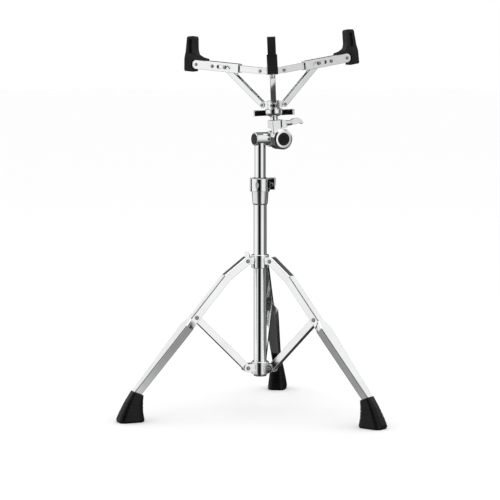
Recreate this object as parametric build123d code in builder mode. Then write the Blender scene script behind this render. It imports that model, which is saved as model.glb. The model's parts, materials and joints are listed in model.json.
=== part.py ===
"""Snare drum basket stand: folding tripod, telescoping column, gyro tilter and three-arm basket.

Frame: origin on the floor under the column's axis, +Z up, +X to the stand's right,
+Y to its back. Millimetres.
"""
from build123d import *
import os
from math import sin, cos, tan, radians, degrees, sqrt, atan2, acos, hypot

os.makedirs("parts", exist_ok=True)

# ------------------------------------------------------------------ driving dimensions
LEG_AZ = {"left": 202.26, "right": 322.26, "rear": 82.26}   # tripod leg directions
LOW_R, UP_R, WALL = 15.0, 12.7, 1.5         # outer and inner column tubes
LOW_Z0, LOW_Z1 = 88.0, 512.0                # outer tube span
UP_Z0, UP_Z1 = 292.0, 628.0                 # inner tube span
PIN_R, RUN = 3.0, 0.05                      # rivet radius and running clearance
HUB_R = 34.0                                # pivot radius on both tripod collars
COL_LO_Z, COL_UP_Z = 106.0, 355.0           # pivot heights of the two collars
BR_R, BR_Z = 160.0, 230.5                   # brace pin on the leg
LEG_W, LEG_T = 20.0, 1.8                    # leg channel width and gauge
LEG_OUT, LEG_IN = 10.3, 8.0                 # web face and open edge from the pin line
LEG_WIDE, LEG_LIP = 37.0, 23.5              # flared part below the brace pin: at the web, at the open edge
BR_W, BR_H, BR_T = 15.2, 15.5, 1.6          # brace channel
TILT_Z, TILT_AZ = 635.0, 28.0               # barrel axis height and heading
BAR_R, AXLE_R = 15.4, 10.0                  # tilter barrel and its axle
DISC_A, DISC_R = 43.0, 24.0                 # gyro axis along the barrel, disc radius
LEAN = 2.8                                  # basket lean about the gyro axis
ROD_A, ROD_B, ROD_R = 33.3, 9.8, 6.0        # basket rod place and radius
ARM_AZ = {"front": 270.0, "right": 30.0, "left": 150.0}
ARM_UP = 6.0                                # arm incline
PIVOT_R = 27.5                              # basket hub pivot radius
HUB_LO, HUB_UP = 78.6, 156.7                # basket hub pivots above the barrel axis
ARM_LINK = 95.0                             # arm pivot to basket brace pin
SLEEVE_S0, SLEEVE_S1 = 58.0, 182.5          # outer arm span from the arm pivot


def side_plane(az):
    """Upright plane through the axis, its x pointing outwards at heading az."""
    a = radians(az)
    return Plane(origin=(0, 0, 0), x_dir=(cos(a), sin(a), 0), z_dir=(sin(a), -cos(a), 0))


def facing_plane(az, r):
    """Plane square to heading az, at distance r from the axis."""
    a = radians(az)
    return Plane(origin=(r * cos(a), r * sin(a), 0), x_dir=(-sin(a), cos(a), 0), z_dir=(cos(a), sin(a), 0))


def ring(plane, r1, r0, h):
    """A tube wall standing on plane."""
    with BuildSketch(plane) as wall:
        Circle(r1)
        if r0:
            Circle(r0, mode=Mode.SUBTRACT)
    extrude(wall.sketch, amount=h)


def rivet(builder, p, r, half, head_r, head_h):
    """A round pin along Y of the current part at p=(x, z), with a domed head each side."""
    for y0, y1, rad in ((-half, half, r), (half, half + head_h, head_r), (-half - head_h, -half, head_r)):
        with BuildSketch(Plane.XZ.offset(-y0)) as disc:
            with Locations(p):
                Circle(rad)
        extrude(disc.sketch, amount=-(y1 - y0))
    rims = builder.edges().filter_by(GeomType.CIRCLE).filter_by(lambda e: abs(abs(e.arc_center.Y) - half - head_h) < 0.01)
    fillet(rims, head_h * 0.9)


def save(piece, name, turn=0.0):
    part = piece.rotate(Axis.Z, turn) if turn else piece
    part.label = name
    export_step(part, f"parts/{name}.step")


# ------------------------------------------------------------------ column, fixed part
with BuildPart() as lower_tube:
    ring(Plane.XY.offset(LOW_Z0), LOW_R, LOW_R - WALL, LOW_Z1 - LOW_Z0)
lower_tube.part.label = "lower_tube"
export_step(lower_tube.part, "parts/lower_tube.step")

with BuildPart() as tube_end_plug:
    ring(Plane.XY.offset(LOW_Z0), LOW_R - WALL, 0, 14)
    ring(Plane.XY.offset(LOW_Z0 - 3), LOW_R, 0, 3)
    fillet(tube_end_plug.edges().group_by(Axis.Z)[0], 1.5)
tube_end_plug.part.label = "tube_end_plug"
export_step(tube_end_plug.part, "parts/tube_end_plug.step")

with BuildPart() as lower_collar:
    ring(Plane.XY.offset(90), 20.2, 0, 29.5)
    chamfer(lower_collar.edges().filter_by(GeomType.CIRCLE), 1.2)
    for az in LEG_AZ.values():
        with BuildSketch(side_plane(az)) as ear:
            with Locations((HUB_R, COL_LO_Z)):
                Circle(9.6)
            with Locations(((HUB_R + 14) / 2, COL_LO_Z)):
                Rectangle(HUB_R - 14, 19.2)
        extrude(amount=10.8, both=True)
    for az in LEG_AZ.values():
        with BuildSketch(side_plane(az)):
            with Locations((HUB_R + 8, COL_LO_Z)):
                Rectangle(39.5, 60)
        extrude(amount=8.0, both=True, mode=Mode.SUBTRACT)
        with BuildSketch(side_plane(az)):
            with Locations((HUB_R, COL_LO_Z)):
                Circle(PIN_R)
        extrude(amount=30, both=True, mode=Mode.SUBTRACT)
    with BuildSketch(Plane.XY.offset(80)):
        Circle(LOW_R)
    extrude(amount=60, mode=Mode.SUBTRACT)
lower_collar.part.label = "lower_collar"
export_step(lower_collar.part, "parts/lower_collar.step")

pins = []
for az in LEG_AZ.values():
    with BuildPart() as pin:
        rivet(pin, (HUB_R, COL_LO_Z), PIN_R, 10.8, 4.9, 2.2)
    pins.append(pin.part.rotate(Axis.Z, az))
save(Compound(children=pins), "lower_collar_pins")

# ------------------------------------------------------------------ tripod collar and wing bolt
BOLT_AZ = 142.26
with BuildPart() as upper_collar:
    ring(Plane.XY.offset(337.5), 20.2, 0, 31)
    chamfer(upper_collar.edges().filter_by(GeomType.CIRCLE), 1.2)
    for az in LEG_AZ.values():
        with BuildSketch(side_plane(az)):
            with Locations((HUB_R, COL_UP_Z)):
                Circle(8.0)
            with Locations(((HUB_R + 12) / 2, COL_UP_Z)):
                Rectangle(HUB_R - 12, 16)
        extrude(amount=7.7, both=True)
        with BuildSketch(side_plane(az)):
            with Locations((HUB_R, COL_UP_Z)):
                Circle(PIN_R + RUN)
        extrude(amount=30, both=True, mode=Mode.SUBTRACT)
    with BuildSketch(facing_plane(BOLT_AZ, 10)):
        with Locations((0, 353)):
            Circle(7.5)
    extrude(amount=17)
    with BuildSketch(Plane.XY.offset(330)):
        Circle(LOW_R + 0.3)
    extrude(amount=60, mode=Mode.SUBTRACT)
    with BuildSketch(facing_plane(BOLT_AZ, 5)):
        with Locations((0, 353)):
            Circle(4.0 + RUN)
    extrude(amount=30, mode=Mode.SUBTRACT)
upper_collar.part.label = "upper_collar"
export_step(upper_collar.part, "parts/upper_collar.step")


def wing_profile(span, root, tip, x0, x1, sweep):
    """Half outline of a butterfly wing pair, x along the bolt axis, y across it."""
    with BuildLine() as outline:
        Polyline((x0, -root), (x0 + sweep * 0.4, -span * 0.7), (x0 + sweep, -span), (x1 + sweep, -span + 1),
                 (x1 + 2, -root), (x1 + 2, root), (x1 + sweep, span - 1), (x0 + sweep, span),
                 (x0 + sweep * 0.4, span * 0.7), (x0, root), close=True)
    make_face(outline.edges())


with BuildPart() as tripod_wing_bolt:
    with BuildSketch(Plane.YZ.offset(15.8)):
        Circle(4.0)
    extrude(amount=20)
    with BuildSketch(Plane.YZ.offset(27.4)):
        Circle(7.0)
    extrude(amount=14, taper=4)
    with BuildSketch(Plane.XZ):
        wing_profile(21.0, 6.5, 8, 33, 43, 13)
    extrude(amount=2.6, both=True)
    fillet(tripod_wing_bolt.edges().filter_by(Axis.Y).filter_by(lambda e: abs(e.center().Z) > 19), 1.5)
save(tripod_wing_bolt.part.rotate(Axis.X, 38).moved(Location((0, 0, 353))), "tripod_wing_bolt", BOLT_AZ)

# ------------------------------------------------------------------ legs, braces, feet
d1 = (0.803, -0.596)
d2 = (0.6507, -0.7593)
KINK = (84.5, 317.5)
stations = []   # r, z, outward normal, width, outer, inner


def leg_station(p, d, w, out, inn, lip):
    n = (-d[1], d[0])
    m = hypot(*n)
    stations.append((p, (n[0] / m, n[1] / m), w, out, inn, lip))


leg_station((HUB_R - d1[0] * 8, COL_UP_Z - d1[1] * 8), d1, LEG_W, LEG_OUT, LEG_IN, LEG_W)
leg_station(KINK, (d1[0] + d2[0], d1[1] + d2[1]), LEG_W, LEG_OUT, LEG_IN, LEG_W)
for t, w, out, inn, lip in ((11, LEG_W, LEG_OUT, LEG_IN, LEG_W), (30, LEG_WIDE, 11.8, 9.8, LEG_LIP), (60, LEG_WIDE - 1.5, 11.6, 9.6, LEG_LIP),
                            (196, 23.5, 10.0, 8.4, 17.5), (232, 20.0, 9.5, 8.0, 16.0)):
    leg_station((BR_R + d2[0] * t, BR_Z + d2[1] * t), d2, w, out, inn, lip)


def leg_planes():
    for p, n, w, out, inn, lip in stations:
        yield Plane(origin=(p[0], 0, p[1]), x_dir=(n[0], 0, n[1]), z_dir=(-n[1], 0, n[0])), w / 2, out, inn, lip / 2


with BuildPart() as leg_hull:            # web outside, sides leaning in to the open edge where the leg is flared
    for pl, w, out, inn, lip in leg_planes():
        with BuildSketch(pl):
            with BuildLine():
                Polyline((out, 1.8 - w), (out, w - 1.8), (out - 1.8, w), (-inn, lip), (-inn, -lip), (out - 1.8, -w), close=True)
            make_face()
    loft(ruled=True)

with BuildPart() as leg_core:
    for pl, w, out, inn, lip in leg_planes():
        k = (w - lip) / (out + inn - 1.8)
        with BuildSketch(pl):
            with BuildLine():
                Polyline((out - LEG_T, LEG_T - w), (out - LEG_T, w - LEG_T), (-inn - 3, lip - LEG_T - 3 * k), (-inn - 3, LEG_T + 3 * k - lip), close=True)
            make_face()
    loft(ruled=True)

with BuildPart() as leg_shape:
    add(leg_hull.part)
    add(leg_core.part, mode=Mode.SUBTRACT)
    with BuildSketch(Plane.XZ):
        with Locations((HUB_R - d1[0] * 8, COL_UP_Z - d1[1] * 8)):
            Rectangle(12, 30, rotation=-36.6)
    extrude(amount=LEG_W / 2 - LEG_T, both=True, mode=Mode.SUBTRACT)
    for p in ((HUB_R, COL_UP_Z), (BR_R, BR_Z)):
        with BuildSketch(Plane.XZ):
            with Locations(p):
                Circle(PIN_R)
        extrude(amount=30, both=True, mode=Mode.SUBTRACT)

BR_LEN = hypot(BR_R - HUB_R, BR_Z - COL_LO_Z)
BR_ANG = degrees(atan2(BR_Z - COL_LO_Z, BR_R - HUB_R))
with BuildPart() as brace_shape:
    with BuildSketch(Plane.XZ):
        with Locations(((HUB_R + BR_R) / 2, (COL_LO_Z + BR_Z) / 2)):
            SlotCenterToCenter(BR_LEN, BR_H, rotation=BR_ANG)
    extrude(amount=BR_W / 2, both=True)
    mid = Plane(origin=((HUB_R + BR_R) / 2, 0, (COL_LO_Z + BR_Z) / 2), x_dir=(cos(radians(BR_ANG)), 0, sin(radians(BR_ANG))), z_dir=(0, -1, 0))
    with BuildSketch(mid):
        with Locations((0, BR_T)):
            Rectangle(BR_LEN + 40, BR_H)
        for s in (1, -1):
            with Locations((s * (BR_LEN / 2 + 8), 0)):
                Rectangle(44, BR_H + 6)
    extrude(amount=BR_W / 2 - BR_T, both=True, mode=Mode.SUBTRACT)
    for p in ((HUB_R, COL_LO_Z), (BR_R, BR_Z)):
        with BuildSketch(Plane.XZ):
            with Locations(p):
                Circle(PIN_R + RUN)
        extrude(amount=30, both=True, mode=Mode.SUBTRACT)

FOOT = ((0, 289.5, 347.0, 41, 14), (4, 287.5, 349.5, 43.5, 15), (10, 288.5, 348.0, 43, 15), (22, 290.5, 342.5, 40.5, 14),
        (46, 290.0, 330.0, 34, 12), (74, 287.5, 311.0, 26.5, 7))


def foot_loft(inset):
    for z, r0, r1, w, rad in FOOT:
        with BuildSketch(Plane.XY.offset(z)) as ring_:
            with Locations(((r0 + r1) / 2, 0)):
                RectangleRounded(r1 - r0 - 2 * inset, w - 2 * inset, rad - inset)
        yield ring_.sketch


with BuildPart() as foot_inner:          # the body left under the grooves
    loft(list(foot_loft(1.3)), ruled=True)

with BuildPart() as foot_grooves:
    for z, tilt in ((15, 4), (24, 7), (33, 10), (42, 13)):
        with BuildSketch(Plane.XZ.offset(-40)) as slab:
            with Locations((317, z)):
                Rectangle(110, 1.7, rotation=tilt)
        extrude(slab.sketch, amount=80)
    add(foot_inner.part, mode=Mode.SUBTRACT)

with BuildPart() as foot_shape:
    loft(list(foot_loft(0)), ruled=True)
    with BuildSketch(Plane.XZ.offset(-40)) as crown:     # the mouth is cut square to the leg
        with BuildLine():
            Polyline((260, 47), (330, 77.5), (330, 110), (260, 110), close=True)
        make_face()
    extrude(crown.sketch, amount=80, mode=Mode.SUBTRACT)
    add(foot_grooves.part, mode=Mode.SUBTRACT)
    add(leg_hull.part, mode=Mode.SUBTRACT)

with BuildPart() as top_pin:
    rivet(top_pin, (HUB_R, COL_UP_Z), PIN_R, LEG_W / 2, 4.9, 2.2)
with BuildPart() as brace_pin:
    rivet(brace_pin, (BR_R, BR_Z), PIN_R, LEG_W / 2, 4.9, 2.2)

for side, az in LEG_AZ.items():
    save(leg_shape.part, f"leg_{side}", az)
    save(brace_shape.part, f"brace_{side}", az)
    save(foot_shape.part, f"foot_{side}", az)
    save(Compound(children=[top_pin.part, brace_pin.part]), f"leg_pins_{side}", az)

# ------------------------------------------------------------------ height clamp
with BuildPart() as height_clamp:
    with BuildSketch(Plane.XZ):
        with BuildLine():
            Polyline((0, 484), (15.5, 484), (17.4, 487), (19.4, 515), (0, 515), close=True)
        make_face()
    revolve(axis=Axis.Z)
    with BuildSketch(Plane.XY.offset(515)):
        Circle(22)
        with Locations((-12, 0)):
            RectangleRounded(24, 22, 3)
        with Locations((20, 0)):
            RectangleRounded(32, 29, 3)
    extrude(amount=30)
    chamfer(height_clamp.edges().group_by(Axis.Z)[-1], 1.0)
    with BuildSketch(Plane.XZ.offset(-40)):          # the lug's slanted outer end and raised bottom
        with BuildLine():
            Polyline((33.0, 510), (37.5, 545.5), (60, 545.5), (60, 510), close=True)
        make_face()
        with BuildLine():
            Polyline((21.5, 514), (22.5, 519.5), (60, 519.5), (60, 514), close=True)
        make_face()
    extrude(amount=80, mode=Mode.SUBTRACT)
    with BuildSketch(Plane.XY.offset(511.9)):
        Circle(15.5)
    extrude(amount=40, mode=Mode.SUBTRACT)
    with BuildSketch(Plane.XY.offset(480)):
        Circle(LOW_R)
    extrude(amount=32, mode=Mode.SUBTRACT)
    with BuildSketch(Plane.XY.offset(513)):
        with Locations((30, 0)):
            Rectangle(40, 2.4)
    extrude(amount=40, mode=Mode.SUBTRACT)
    with BuildSketch(Plane.XZ.offset(-40)):
        with Locations((26, 531)):
            Circle(PIN_R)
    extrude(amount=80, mode=Mode.SUBTRACT)
    with BuildSketch(Plane.XZ.offset(14.5)):         # shallow panel beside the bolt head
        with Locations((17, 530)):
            RectangleRounded(12, 17, 3)
    extrude(amount=-0.9, mode=Mode.SUBTRACT)
    with BuildSketch(facing_plane(250, 21.2)):   # oval dimple on the left front
        with Locations((0, 530)):
            Ellipse(3.4, 6.0)
    extrude(amount=4, mode=Mode.SUBTRACT)
height_clamp.part.label = "height_clamp"
export_step(height_clamp.part, "parts/height_clamp.step")

with BuildPart() as clamp_bush:
    ring(Plane.XY.offset(512.3), 15.4, UP_R + 0.06, 33.2)
    ring(Plane.XY.offset(545.3), 14.9, UP_R + 0.06, 1.2)
    with BuildSketch(Plane.XY.offset(510)):
        with Locations((14, 0)):
            Rectangle(10, 2.0)
    extrude(amount=40, mode=Mode.SUBTRACT)
clamp_bush.part.label = "clamp_bush"
export_step(clamp_bush.part, "parts/clamp_bush.step")

with BuildPart() as clamp_bolt:
    with BuildSketch(Plane.XZ.offset(-30)):
        with Locations((26, 531)):
            Circle(PIN_R)
    extrude(amount=44.5)
    with BuildSketch(Plane.XZ.offset(14.5)):
        with Locations((26, 531)):
            Circle(4.8)
    extrude(amount=2.6)
    fillet(clamp_bolt.edges().group_by(Axis.Y)[0], 1.8)
clamp_bolt.part.label = "clamp_bolt"
export_step(clamp_bolt.part, "parts/clamp_bolt.step")

with BuildPart() as wing_nut_shape:      # along +X from its bearing face
    with BuildSketch(Plane.YZ):
        Circle(7.5)
    extrude(amount=13, taper=5)
    with BuildSketch(Plane.XZ):
        wing_profile(13.2, 6.5, 8, 5, 16, 14)
    extrude(amount=2.6, both=True)
    fillet(wing_nut_shape.edges().filter_by(Axis.Y).filter_by(lambda e: abs(e.center().Z) > 12), 1.2)
    with BuildSketch(Plane.YZ.offset(-1)):
        Circle(PIN_R + RUN)
    extrude(amount=17, mode=Mode.SUBTRACT)
save(wing_nut_shape.part.rotate(Axis.Z, 90).moved(Location((26, 14.8, 531))), "clamp_wing_nut")

# ------------------------------------------------------------------ inner tube and tilter
with BuildPart() as upper_tube:
    ring(Plane.XY.offset(UP_Z0), UP_R, UP_R - WALL, UP_Z1 - UP_Z0)
upper_tube.part.label = "upper_tube"
export_step(upper_tube.part, "parts/upper_tube.step")

T = Location((0, 0, TILT_Z), (0, 0, TILT_AZ))     # tilter frame: +X along the barrel, -Y out of the disc
with BuildPart() as tilter_head:
    with BuildSketch(Plane.YZ.offset(-15.7)):
        Circle(BAR_R)
    extrude(amount=36.2)
    chamfer(tilter_head.edges().filter_by(GeomType.CIRCLE), 0.8)
    with BuildSketch(Plane.YZ.offset(-15.7)):
        Circle(AXLE_R)
    extrude(amount=36.2 + 40)
    with BuildSketch(Plane.YZ.offset(-15.7)):
        Circle(13.0)
    extrude(amount=2.5, mode=Mode.SUBTRACT)
    with BuildSketch(Plane.XY.offset(-20)):
        Circle(UP_R)
    extrude(amount=20 + UP_Z1 - TILT_Z, mode=Mode.SUBTRACT)
save(tilter_head.part.moved(T), "tilter_head")

with BuildPart() as barrel_cap:
    with BuildSketch(Plane.YZ.offset(-17.2)):
        Circle(13.0)
    extrude(amount=4.0)
    fillet(barrel_cap.edges().group_by(Axis.X)[0], 1.2)
save(barrel_cap.part.moved(T), "barrel_cap")

with BuildPart() as barrel_retainer:
    with BuildSketch(Plane.YZ.offset(60.5)):
        Circle(12.6)
    extrude(amount=3.0)
    chamfer(barrel_retainer.edges().group_by(Axis.X)[-1], 1.0)
    with BuildSketch(Plane.YZ.offset(63.5)):
        Circle(6.0)
    extrude(amount=2.5)
    with BuildSketch(Plane.YZ.offset(66.0)):
        RegularPolygon(3.0, 6)
    extrude(amount=-2.0, mode=Mode.SUBTRACT)
save(barrel_retainer.part.moved(T), "barrel_retainer")

with BuildPart() as tilter_housing:
    with BuildSketch(Plane.YZ.offset(20.8)):
        Circle(18.3)
    extrude(amount=39.4)
    chamfer(tilter_housing.edges().filter_by(GeomType.CIRCLE), 0.8)
    with BuildSketch(Plane.XZ.offset(2.0)):
        with Locations((DISC_A, 0)):
            Circle(DISC_R)
    extrude(amount=15.0)
    chamfer(tilter_housing.edges().group_by(Axis.Y)[0], 0.6)
    with BuildSketch(Plane.YZ.offset(15)):
        Circle(AXLE_R + RUN)
    extrude(amount=60, mode=Mode.SUBTRACT)
    with BuildSketch(Plane.XZ.offset(10.9)):
        with Locations((DISC_A, 0)):
            Circle(4.5 + RUN)
    extrude(amount=10, mode=Mode.SUBTRACT)
    for a, b, r in ((5, 20.8, BAR_R + 0.5), (60.2, 75, 13.2)):    # relief round the barrel and the retainer
        with BuildSketch(Plane.YZ.offset(a)):
            Circle(r)
        extrude(amount=b - a, mode=Mode.SUBTRACT)
save(tilter_housing.part.moved(T), "tilter_housing")

# the rotor is built upright, then leaned about the gyro axis
LEAN_L = T * Location((DISC_A, 0, 0)) * Location((0, 0, 0), (0, -LEAN, 0)) * Location((-DISC_A, 0, 0))
ROD_Z0, BLOCK_Z0, BLOCK_Z1 = 26.2, 25.6, 43.2
with BuildPart() as rod_clamp:
    with BuildSketch(Plane.XZ.offset(17.3)):
        with Locations((DISC_A, 0)):
            Circle(DISC_R)
    extrude(amount=7.0)
    with BuildSketch(Plane.XY.offset(BLOCK_Z0)):
        with Locations((32.6, -(24.3 - 1.6) / 2 + 0.0)):
            Rectangle(23.0, 25.9)
    extrude(amount=BLOCK_Z1 - BLOCK_Z0)
    with BuildSketch(Plane.XY.offset(0)):
        with Locations((32.6, -20.8)):
            Rectangle(23.0, 7.0)
    extrude(amount=BLOCK_Z1)
    fillet(rod_clamp.edges().filter_by(lambda e: e.length > 15 and e.center().Z > BLOCK_Z0 - 1).filter_by(Axis.Z), 2.5)
    with BuildSketch(Plane.XY.offset(BLOCK_Z0 - 5)):
        with Locations((ROD_A, -ROD_B)):
            Circle(ROD_R + 2.4 + RUN)
    extrude(amount=40, mode=Mode.SUBTRACT)
    with BuildSketch(Plane.XY.offset(30)):
        with Locations((ROD_A, -ROD_B)):
            Circle(10.1)
    extrude(amount=9, mode=Mode.SUBTRACT)
    with BuildSketch(Plane.YZ.offset(ROD_A)):
        with Locations((-ROD_B, 34.5)):
            Circle(3.6)
    extrude(amount=30, mode=Mode.SUBTRACT)
    with BuildSketch(Plane.XZ.offset(30)):
        with Locations((DISC_A, 0)):
            Circle(4.5)
    extrude(amount=-20, mode=Mode.SUBTRACT)
save(rod_clamp.part.moved(LEAN_L), "rod_clamp")

with BuildPart() as clamp_jaw:
    with BuildSketch(Plane.XZ.offset(-1.6)):
        with BuildLine():
            Polyline((45.6, BLOCK_Z0), (59.5, BLOCK_Z0), (56.0, BLOCK_Z1 - 3), (53.5, BLOCK_Z1), (45.6, BLOCK_Z1), close=True)
        make_face()
    extrude(amount=24.3 + 1.6)
    fillet(clamp_jaw.edges().filter_by(Axis.Y), 1.5)
    with BuildSketch(Plane.YZ.offset(40)):
        with Locations((-ROD_B, 34.5)):
            Circle(3.6)
    extrude(amount=30, mode=Mode.SUBTRACT)
save(clamp_jaw.part.moved(LEAN_L), "clamp_jaw")

with BuildPart() as clamp_eye_bolt:
    with BuildSketch(Plane.XY.offset(30.5)):
        with Locations((ROD_A, -ROD_B)):
            Circle(9.9)
    extrude(amount=8)
    with BuildSketch(Plane.YZ.offset(ROD_A)):
        with Locations((-ROD_B, 34.5)):
            Circle(3.5)
    extrude(amount=42)
    with BuildSketch(Plane.XY.offset(25)):
        with Locations((ROD_A, -ROD_B)):
            Circle(ROD_R + RUN)
    extrude(amount=20, mode=Mode.SUBTRACT)
save(clamp_eye_bolt.part.moved(LEAN_L), "clamp_eye_bolt")

with BuildPart() as clamp_lever_nut:     # hub on the eye bolt, arm along the bolt, hooked wing end
    with BuildSketch(Plane.YZ.offset(60.0)):
        with Locations((-ROD_B, 34.5)):
            Circle(7.0)
    extrude(amount=18, taper=4)
    with BuildSketch(Plane.XZ.offset(ROD_B - 3.4)):
        with BuildLine():
            Polyline((74, 29.5), (74, 40.0), (84, 44.2), (96, 44.6), (103, 40), (108, 33.5), (105, 29.0), (98, 33.5), (90, 30.5), close=True)
        make_face()
    extrude(amount=6.8)
    fillet(clamp_lever_nut.edges().filter_by(Axis.Y).filter_by(lambda e: e.center().X > 83), 1.0)
    with BuildSketch(Plane.YZ.offset(55)):
        with Locations((-ROD_B, 34.5)):
            Circle(3.5 + RUN)
    extrude(amount=22, mode=Mode.SUBTRACT)
save(clamp_lever_nut.part.moved(LEAN_L), "clamp_lever_nut")

with BuildPart() as tilter_disc:
    with BuildSketch(Plane.XY):
        with BuildLine():
            Polyline((0, 24.4), (DISC_R, 24.4), (DISC_R, 31.0), (19.5, 33.9), (14.9, 34.3), (14.9, 31.5), (0, 31.5), close=True)
        make_face()
    revolve(axis=Axis.Y)
    with BuildSketch(Plane.XZ.offset(-40)):
        Circle(4.5)
    extrude(amount=20, mode=Mode.SUBTRACT)
LD = LEAN_L * Location((DISC_A, 0, 0), (0, 0, 180))
save(tilter_disc.part.moved(LD), "tilter_disc")

with BuildPart() as disc_insert:
    with BuildSketch(Plane.XZ.offset(-31.5)):
        Circle(14.7)
        with PolarLocations(14.9, 20):
            Circle(1.1, mode=Mode.SUBTRACT)
    extrude(amount=-3.2)
    with BuildSketch(Plane.XZ.offset(-34.7)):
        with GridLocations(3.4, 1, 5, 1):
            Rectangle(1.4, 15)
    extrude(amount=-0.6)
save(disc_insert.part.moved(LD), "disc_insert")

with BuildPart() as disc_bolt:
    with BuildSketch(Plane.XZ.offset(-31.5)):
        Circle(4.5)
    extrude(amount=20.4)
save(disc_bolt.part.moved(LD), "disc_bolt")

# ------------------------------------------------------------------ basket, built on the rod's axis
B = LEAN_L * Location((ROD_A, -ROD_B, 0), (0, 0, -TILT_AZ))
with BuildPart() as basket_rod:
    with BuildSketch(Plane.XY.offset(ROD_Z0)):
        Circle(ROD_R)
    extrude(amount=172 - ROD_Z0)
    chamfer(basket_rod.edges().group_by(Axis.Z)[-1], 1.0)
    with BuildSketch(Plane.XY.offset(43.6)):     # shoulder that sits on the clamp
        Circle(8.4)
    extrude(amount=6.8)
save(basket_rod.part.moved(B), "basket_rod")


def basket_hub(z_lo, z_hi, pivot_z, bore, web_r):
    ring(Plane.XY.offset(z_lo), 13.6, 0, z_hi - z_lo)
    for az in ARM_AZ.values():
        with BuildSketch(side_plane(az)) as lug:
            with Locations((PIVOT_R, pivot_z)):
                Circle(7.0)
            with Locations(((PIVOT_R + 8) / 2, pivot_z)):
                Rectangle(PIVOT_R - 8, 14)
        extrude(lug.sketch, amount=4.0 if web_r else 7.2, both=True)


with BuildPart() as upper_hub:
    basket_hub(148.0, 165.0, HUB_UP, 0, False)
    for az in ARM_AZ.values():
        with BuildSketch(side_plane(az)):
            with Locations((PIVOT_R + 8, HUB_UP)):
                Rectangle(38, 40)
        extrude(amount=4.3, both=True, mode=Mode.SUBTRACT)
        with BuildSketch(side_plane(az)):
            with Locations((PIVOT_R, HUB_UP)):
                Circle(2.5)
        extrude(amount=30, both=True, mode=Mode.SUBTRACT)
    with BuildSketch(Plane.XY.offset(140)):
        Circle(ROD_R)
    extrude(amount=40, mode=Mode.SUBTRACT)
save(upper_hub.part.moved(B), "upper_hub")

with BuildPart() as lower_hub:
    basket_hub(69.2, 88.0, HUB_LO, 0, True)
    for az in ARM_AZ.values():
        with BuildSketch(side_plane(az)):
            with Locations((PIVOT_R, HUB_LO)):
                Circle(2.5)
        extrude(amount=30, both=True, mode=Mode.SUBTRACT)
    with BuildSketch(Plane.XY.offset(60)):
        Circle(ROD_R + 0.15)
    extrude(amount=40, mode=Mode.SUBTRACT)
save(lower_hub.part.moved(B), "lower_hub")

with BuildPart() as basket_nut:
    with BuildSketch(Plane.XZ):
        with BuildLine():
            Polyline((0, 51.8), (10, 51.8), (17.5, 55.5), (19.5, 60), (19.5, 68.9), (0, 68.9), close=True)
        make_face()
    revolve(axis=Axis.Z)
    with BuildSketch(Plane.XY.offset(54.5)):
        RectangleRounded(94, 13, 4)
    extrude(amount=12.5)
    with BuildSketch(Plane.XY.offset(50)):
        Circle(ROD_R + RUN)
    extrude(amount=30, mode=Mode.SUBTRACT)
    with BuildSketch(Plane.XY.offset(50)):           # counterbore: the nut can come down over the rod's shoulder
        Circle(8.8)
    extrude(amount=7.6, mode=Mode.SUBTRACT)
save(basket_nut.part.moved(B), "basket_nut")

AL = Location((PIVOT_R, 0, HUB_UP), (0, -ARM_UP, 0))       # arm frame: X along the arm, Z up
with BuildPart() as arm_shape:
    with BuildSketch(Plane.XZ):
        with Locations((70, 0)):
            SlotCenterToCenter(140, 14.5)
    extrude(amount=4.0, both=True)
    with BuildSketch(Plane.XZ):
        with Locations((75, -2)):
            Rectangle(130, 14.5)
    extrude(amount=2.5, both=True, mode=Mode.SUBTRACT)
    for x, r in ((0, 2.5 + RUN), (ARM_LINK, 2.5)):
        with BuildSketch(Plane.XZ):
            with Locations((x, 0)):
                Circle(r)
        extrude(amount=30, both=True, mode=Mode.SUBTRACT)
    with BuildSketch(Plane.XZ):                      # the lock screw travels in this slot
        with Locations((128, 0)):
            SlotOverall(29.5, 5.8)
    extrude(amount=30, both=True, mode=Mode.SUBTRACT)

with BuildPart() as sleeve_shape:        # inverted channel over the arm and the brace end
    with BuildSketch(Plane.XZ):
        with Locations(((SLEEVE_S0 + SLEEVE_S1 - 8) / 2, 0)):
            Rectangle(SLEEVE_S1 - 8 - SLEEVE_S0, 21)
        with Locations((SLEEVE_S1 - 10.5, 0)):
            Circle(10.5)
    extrude(amount=8.4, both=True)
    with BuildSketch(Plane.XZ):
        with Locations((115, -2.6)):
            Rectangle(150, 21)
    extrude(amount=6.8, both=True, mode=Mode.SUBTRACT)
    with BuildSketch(Plane.XZ):
        with Locations((97.4, 0)):            # clears the link pin's heads over the whole slide
            SlotOverall(36.6, 8.4)
        with Locations((SLEEVE_S1 - 10.5, 0)):
            Circle(2.5)
    extrude(amount=30, both=True, mode=Mode.SUBTRACT)
    with BuildSketch(Plane.XZ):
        with Locations((128, 0)):
            Circle(2.5)
    extrude(amount=30, both=True, mode=Mode.SUBTRACT)

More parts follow.
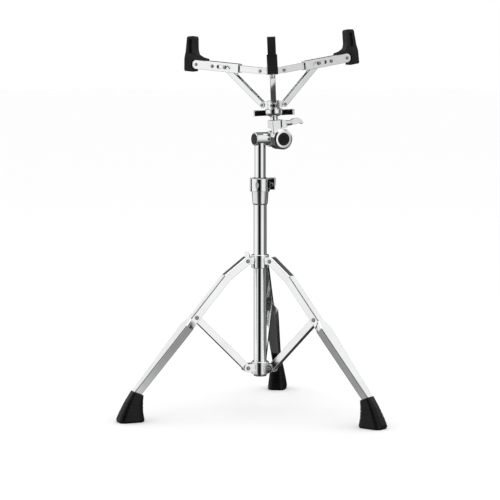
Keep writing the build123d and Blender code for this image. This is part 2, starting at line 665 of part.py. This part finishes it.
with BuildPart() as grip_shape:
    with BuildSketch(Plane.XZ) as shoe:                  # shoe at the arm's end
        with BuildLine():
            Polyline((180.5, 10.6), (148, 10.6), (148, 14.0), (162, 16.2), (173, 21.0), (178, 24.5), (201.0, 24.5), (203, 12), (202, -17.5), (178, -17.5), (178, -11.5), (183.6, -6), (183.6, 6), close=True)
        make_face()
    extrude(shoe.sketch, amount=11.5, both=True)
    fillet(grip_shape.edges().filter_by(Axis.Y).filter_by(lambda e: e.center().X > 200 and e.center().Z < 0), 4)
    with BuildSketch(Plane.XZ) as post:                  # upright that holds the rim, flowing into the shoe
        with BuildLine() as outline:
            Bezier((152, 14.0), (170, 15.0), (176.4, 22.0), (177.2, 40.0))
            Line((177.2, 40.0), (178.4, 58.5))
            ThreePointArc((178.4, 58.5), (180.0, 62.2), (183.6, 63.8))
            Line((183.6, 63.8), (194.8, 63.8))
            ThreePointArc((194.8, 63.8), (198.2, 62.3), (199.8, 58.8))
            Line((199.8, 58.8), (202.4, 14.0))
            Line((202.4, 14.0), (152, 14.0))
        make_face(outline.edges())
    extrude(post.sketch, amount=9.2, both=True)
    with BuildSketch(Plane.XZ) as window:
        with Locations((189, 41)):
            SlotOverall(33, 9.5, rotation=88)
    extrude(window.sketch, amount=30, both=True, mode=Mode.SUBTRACT)
    extrude(window.sketch, amount=2.5, both=True)

with BuildPart() as arm_pins_shape:
    rivet(arm_pins_shape, (0, 0), 2.5, 7.2, 3.9, 1.6)
with BuildPart() as link_pin_shape:
    rivet(link_pin_shape, (ARM_LINK, 0), 2.5, 8.6, 3.6, 1.2)
with BuildPart() as lock_shape:
    rivet(lock_shape, (128, 0), 2.5, 8.4, 4.2, 2.2)
with BuildPart() as grip_rivet_shape:
    rivet(grip_rivet_shape, (SLEEVE_S1 - 10.5, 0), 2.5, 8.4, 3.9, 1.4)

LX = PIVOT_R + ARM_LINK * cos(radians(ARM_UP))
LZ = HUB_UP + ARM_LINK * sin(radians(ARM_UP))
BB_LEN = hypot(LX - PIVOT_R, LZ - HUB_LO)
BB_ANG = degrees(atan2(LZ - HUB_LO, LX - PIVOT_R))
BL = Location((PIVOT_R, 0, HUB_LO), (0, -BB_ANG, 0))
with BuildPart() as basket_brace_shape:  # channel, web below, X from the hub pin to the arm pin
    with BuildSketch(Plane.XZ):
        with Locations((BB_LEN / 2, 0)):
            SlotCenterToCenter(BB_LEN, 12.5)
    extrude(amount=6.2, both=True)
    with BuildSketch(Plane.XZ):
        with Locations((BB_LEN / 2, 1.6)):
            Rectangle(BB_LEN + 40, 12.5)
        with Locations((0, 0)):
            Rectangle(34, 30)
        with Locations((BB_LEN + 2, 0)):
            Rectangle(54, 30)
    extrude(amount=4.7, both=True, mode=Mode.SUBTRACT)
    with BuildSketch(Plane.XZ):
        Circle(2.5 + RUN)
        with Locations((BB_LEN, 0)):
            Circle(2.5 + 0.7)
    extrude(amount=30, both=True, mode=Mode.SUBTRACT)
with BuildPart() as hub_pin_shape:
    rivet(hub_pin_shape, (0, 0), 2.5, 6.2, 3.9, 1.6)

for side, az in ARM_AZ.items():
    A = B * Location((0, 0, 0), (0, 0, az))
    save(arm_shape.part.moved(A * AL), f"arm_{side}")
    save(sleeve_shape.part.moved(A * AL), f"sleeve_{side}")
    save(grip_shape.part.moved(A * AL), f"grip_{side}")
    save(basket_brace_shape.part.moved(A * BL), f"basket_brace_{side}")
    save(link_pin_shape.part.moved(A * AL), f"link_pin_{side}")
    save(Compound(children=[lock_shape.part.moved(A * AL), grip_rivet_shape.part.moved(A * AL)]), f"sleeve_screws_{side}")
save(Compound(children=[arm_pins_shape.part.moved(B * Location((0, 0, 0), (0, 0, az)) * AL) for az in ARM_AZ.values()]), "arm_pins")
save(Compound(children=[hub_pin_shape.part.moved(B * Location((0, 0, 0), (0, 0, az)) * BL) for az in ARM_AZ.values()]), "lower_hub_pins")
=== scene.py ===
import bpy, bmesh, json, math
from mathutils import Vector, Matrix, Quaternion

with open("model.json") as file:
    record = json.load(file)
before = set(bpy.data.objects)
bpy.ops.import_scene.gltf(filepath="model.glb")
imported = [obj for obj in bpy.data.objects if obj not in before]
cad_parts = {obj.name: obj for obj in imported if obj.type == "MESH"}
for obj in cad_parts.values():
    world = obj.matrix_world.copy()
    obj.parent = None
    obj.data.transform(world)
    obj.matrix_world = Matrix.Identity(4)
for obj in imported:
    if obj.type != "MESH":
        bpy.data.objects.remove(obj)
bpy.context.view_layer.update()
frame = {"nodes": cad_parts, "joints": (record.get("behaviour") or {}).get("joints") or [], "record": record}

REC = frame["record"]
NODES = frame["nodes"]
JOINTS = {j["name"]: j for j in frame["joints"]}
BODY_OF = {n: b for b, ns in REC["behaviour"]["bodies"].items() for n in ns}


# ------------------------------------------------------------------ materials
def new_mat(name):
    m = bpy.data.materials.new(name)
    m.use_nodes = True
    nt = m.node_tree
    return m, nt, nt.nodes["Principled BSDF"]


def node(nt, kind, **inputs):
    n = nt.nodes.new(kind)
    for k, v in inputs.items():
        n.inputs[k.replace("_", " ")].default_value = v
    return n


def noise(nt, scale, detail=4.0, stretch=None):
    tc = nt.nodes.new("ShaderNodeTexCoord")
    t = nt.nodes.new("ShaderNodeTexNoise")
    t.inputs["Scale"].default_value = scale
    t.inputs["Detail"].default_value = detail
    if stretch:
        mp = nt.nodes.new("ShaderNodeMapping")
        mp.inputs["Scale"].default_value = stretch
        nt.links.new(tc.outputs["Object"], mp.inputs["Vector"])
        nt.links.new(mp.outputs["Vector"], t.inputs["Vector"])
    else:
        nt.links.new(tc.outputs["Object"], t.inputs["Vector"])
    return t


def ramp(nt, src, p0, c0, p1, c1):
    r = nt.nodes.new("ShaderNodeValToRGB")
    r.color_ramp.elements[0].position, r.color_ramp.elements[0].color = p0, c0
    r.color_ramp.elements[1].position, r.color_ramp.elements[1].color = p1, c1
    nt.links.new(src, r.inputs["Fac"])
    return r


def remap(nt, src, lo, hi):
    r = nt.nodes.new("ShaderNodeMapRange")
    r.inputs["To Min"].default_value, r.inputs["To Max"].default_value = lo, hi
    nt.links.new(src, r.inputs["Value"])
    return r


def chrome(name, tint, rough0, rough1, peel, peel_scale, wipe=None, edge_r=0.0009):
    """Plated metal: a faint colour drift, soft wipe marks in the roughness and a fine orange-peel."""
    m, nt, b = new_mat(name)
    b.inputs["Metallic"].default_value = 1.0
    big = noise(nt, 14.0, 5.0)
    col = ramp(nt, big.outputs["Fac"], 0.35, tuple(c * 0.93 for c in tint) + (1,), 0.65, tuple(tint) + (1,))
    nt.links.new(col.outputs["Color"], b.inputs["Base Color"])
    marks = noise(nt, 60.0, 6.0, wipe)
    rg = remap(nt, marks.outputs["Fac"], rough0, rough1)
    nt.links.new(rg.outputs["Result"], b.inputs["Roughness"])
    fine = noise(nt, peel_scale, 2.0)
    bump = nt.nodes.new("ShaderNodeBump")
    bump.inputs["Strength"].default_value = peel
    bump.inputs["Distance"].default_value = 0.0002
    nt.links.new(fine.outputs["Fac"], bump.inputs["Height"])
    edge = nt.nodes.new("ShaderNodeBevel")           # pressed and cast edges are never sharp
    edge.samples = 6
    edge.inputs["Radius"].default_value = edge_r
    nt.links.new(edge.outputs["Normal"], bump.inputs["Normal"])
    nt.links.new(bump.outputs["Normal"], b.inputs["Normal"])
    return m


def rubber(name, dark, light, rough0, rough1, grain, scale):
    """Moulded black rubber or plastic: slight bloom, fine pebbled grain."""
    m, nt, b = new_mat(name)
    n1 = noise(nt, 22.0, 6.0)
    col = ramp(nt, n1.outputs["Fac"], 0.3, dark + (1,), 0.75, light + (1,))
    nt.links.new(col.outputs["Color"], b.inputs["Base Color"])
    rg = remap(nt, noise(nt, 90.0, 4.0).outputs["Fac"], rough0, rough1)
    nt.links.new(rg.outputs["Result"], b.inputs["Roughness"])
    b.inputs["Specular IOR Level"].default_value = 0.17
    g = noise(nt, scale, 3.0)
    bump = nt.nodes.new("ShaderNodeBump")
    bump.inputs["Strength"].default_value = grain
    bump.inputs["Distance"].default_value = 0.0004
    nt.links.new(g.outputs["Fac"], bump.inputs["Height"])
    nt.links.new(bump.outputs["Normal"], b.inputs["Normal"])
    return m


TUBE = chrome("chrome_tube", (0.93, 0.935, 0.94), 0.02, 0.06, 0.015, 500, (1, 1, 0.15))
SHEET = chrome("chrome_sheet", (0.93, 0.935, 0.94), 0.03, 0.09, 0.03, 400, edge_r=0.0016)
CAST = chrome("chrome_cast", (0.91, 0.915, 0.92), 0.05, 0.12, 0.06, 220, edge_r=0.0012)
FAST = chrome("fastener_plate", (0.30, 0.30, 0.31), 0.12, 0.24, 0.08, 900, edge_r=0.0012)
RUBBER = rubber("black_rubber", (0.0025, 0.0025, 0.003), (0.007, 0.007, 0.008), 0.2, 0.34, 0.25, 1400)
GRIP = rubber("grip_rubber", (0.008, 0.008, 0.009), (0.018, 0.018, 0.020), 0.36, 0.52, 0.3, 1600)
PLASTIC = rubber("black_plastic", (0.005, 0.005, 0.006), (0.012, 0.012, 0.013), 0.22, 0.36, 0.08, 1200)
NYLON = rubber("dark_nylon", (0.02, 0.02, 0.022), (0.05, 0.05, 0.052), 0.4, 0.55, 0.1, 900)
SLOT_MAT = {"chrome_tube": TUBE, "chrome_sheet": SHEET, "chrome_cast": CAST, "fastener": FAST,
            "rubber": RUBBER, "black_plastic": PLASTIC, "nylon": NYLON}
slot_of = {s["node"]: s["material_slot"] for s in REC["subparts"]}

for name, ob in NODES.items():
    mat = SLOT_MAT[slot_of[name]]
    if name.startswith("grip_"):
        mat = GRIP
    me = ob.data
    me.materials.clear()
    me.materials.append(mat)
    for p in me.polygons:
        p.use_smooth = True
    me.set_sharp_from_angle(angle=math.radians(28))

# ------------------------------------------------------------------ studio
sc = bpy.context.scene
sc.view_settings.view_transform = "Standard"
sc.view_settings.look = "None"

cam_d = bpy.data.cameras.new("camera")
cam = bpy.data.objects.new("camera", cam_d)
sc.collection.objects.link(cam)
cam_d.sensor_width = 36.0
cam_d.lens = 2079.86 / 500 * 36
cam_d.shift_x = -(260.2 - 250) / 500
cam_d.clip_start, cam_d.clip_end = 0.05, 60
cam.location = (0, -4.773, 0.8952)
cam.rotation_euler = (math.pi / 2 - 0.1078, 0, 0)
sc.camera = cam

# world: white for the camera and for diffuse light; bright metal sees a studio with dark flags
w = bpy.data.worlds.new("studio")
sc.world = w
w.use_nodes = True
nt = w.node_tree
for n in list(nt.nodes):
    nt.nodes.remove(n)
out = nt.nodes.new("ShaderNodeOutputWorld")
tc = nt.nodes.new("ShaderNodeTexCoord")
sep = nt.nodes.new("ShaderNodeSeparateXYZ")
nt.links.new(tc.outputs["Generated"], sep.inputs[0])
at = nt.nodes.new("ShaderNodeMath"); at.operation = "ARCTAN2"
nt.links.new(sep.outputs["Y"], at.inputs[0]); nt.links.new(sep.outputs["X"], at.inputs[1])
mr = nt.nodes.new("ShaderNodeMapRange")
mr.inputs["From Min"].default_value, mr.inputs["From Max"].default_value = -math.pi, math.pi
nt.links.new(at.outputs[0], mr.inputs["Value"])


def bands(stops):
    """Brightness by heading, in degrees from +X towards +Y."""
    r = nt.nodes.new("ShaderNodeValToRGB")
    els = r.color_ramp.elements
    while len(els) > 1:
        els.remove(els[-1])
    els[0].position, els[0].color = 0.0, (stops[0][1],) * 3 + (1,)
    for d, v in stops[1:]:
        e = els.new((d + 180) / 360)
        e.color = (v, v, v, 1)
    nt.links.new(mr.outputs["Result"], r.inputs["Fac"])
    return r


def by_height(z0, z1, lower, upper):
    """Blends two colours as the ray's height goes from z0 to z1."""
    m = nt.nodes.new("ShaderNodeMapRange")
    m.inputs["From Min"].default_value, m.inputs["From Max"].default_value = z0, z1
    nt.links.new(sep.outputs["Z"], m.inputs["Value"])
    x = nt.nodes.new("ShaderNodeMix"); x.data_type = "RGBA"
    nt.links.new(m.outputs["Result"], x.inputs["Factor"])
    for sock, src in (("A", lower), ("B", upper)):
        if isinstance(src, float):
            x.inputs[sock].default_value = (src, src, src, 1)
        else:
            nt.links.new(src, x.inputs[sock])
    return x.outputs["Result"]


level = bands([(-180, 1.0), (-165, 0.95), (-150, 0.95), (-136, 0.6), (-122, 0.12), (-112, 0.01), (-88, 0.0), (-80, 0.2), (-66, 0.95), (-38, 0.95),
               (-20, 0.45), (-4, 0.04), (12, 0.03), (24, 0.5), (34, 0.1), (60, 0.02), (118, 0.02), (132, 0.3), (150, 0.95), (179.9, 1.0)])
above = bands([(-180, 1.0), (-150, 0.95), (-141, 0.05), (-84, 0.03), (-70, 0.9), (-60, 1.0), (-20, 0.9), (4, 0.35), (20, 0.95), (47, 0.95), (57, 0.05),
               (84, 0.02), (112, 0.02), (118, 0.9), (150, 1.0), (179.9, 1.0)])
below = bands([(-180, 0.35), (-168, 0.4), (-150, 0.8), (-136, 0.6), (-122, 0.1), (-88, 0.0), (-80, 0.15), (-66, 0.85), (-45, 0.8), (-27, 0.38), (0, 0.26), (22, 0.2),
               (60, 0.02), (118, 0.02), (150, 0.28), (179.9, 0.33)])
c = by_height(-0.26, -0.16, below.outputs["Color"], level.outputs["Color"])
c = by_height(0.10, 0.28, c, above.outputs["Color"])
c = by_height(0.72, 0.86, c, 1.0)
c = by_height(-0.75, -0.45, 0.06, c)
bg = nt.nodes.new("ShaderNodeBackground"); bg.inputs["Strength"].default_value = 1.0
nt.links.new(c, bg.inputs["Color"])
white = nt.nodes.new("ShaderNodeBackground"); white.inputs["Color"].default_value = (1, 1, 1, 1); white.inputs["Strength"].default_value = 1.0
lp = nt.nodes.new("ShaderNodeLightPath")
ms = nt.nodes.new("ShaderNodeMixShader")
nt.links.new(lp.outputs["Is Glossy Ray"], ms.inputs[0])
nt.links.new(white.outputs[0], ms.inputs[1])
nt.links.new(bg.outputs[0], ms.inputs[2])
nt.links.new(ms.outputs[0], out.inputs["Surface"])

def area(name, loc, size, power, target=(0, 0, 0.45)):
    ld = bpy.data.lights.new(name, "AREA")
    ld.shape, ld.size, ld.size_y, ld.energy = "RECTANGLE", size[0], size[1], power
    lo = bpy.data.objects.new(name, ld)
    lo.location = loc
    lo.rotation_euler = (Vector(target) - Vector(loc)).to_track_quat("-Z", "Y").to_euler()
    sc.collection.objects.link(lo)
    return lo


area("top_soft", (0, -0.4, 3.2), (3.0, 3.0), 12)

# plain pale floor: a wide sheet with a slow swell at its rim, so that no hard edge shows
fm = bpy.data.materials.new("pale_floor")
fm.use_nodes = True
nt = fm.node_tree
nt.nodes.remove(nt.nodes["Principled BSDF"])
df = nt.nodes.new("ShaderNodeBsdfDiffuse")
df.inputs["Color"].default_value = (0.985, 0.985, 0.985, 1)
nt.links.new(df.outputs[0], nt.nodes["Material Output"].inputs["Surface"])
bm = bmesh.new()
rings = [[bm.verts.new((r * math.cos(2 * math.pi * i / 64), r * math.sin(2 * math.pi * i / 64), z)) for i in range(64)]
         for r, z in ((0.5, -0.0003), (3.0, -0.0003), (12.0, -0.0003), (16.0, 0.05), (18.0, 0.2))]
bm.faces.new(rings[0])
for lo, hi in zip(rings, rings[1:]):
    for i in range(64):
        bm.faces.new((lo[i], hi[i], hi[(i + 1) % 64], lo[(i + 1) % 64]))
fme = bpy.data.meshes.new("floor")
bm.to_mesh(fme)
bm.free()
fme.materials.append(fm)
floor = bpy.data.objects.new("floor", fme)
sc.collection.objects.link(floor)
floor.visible_glossy = False        # the plated metal keeps the studio's own reflections
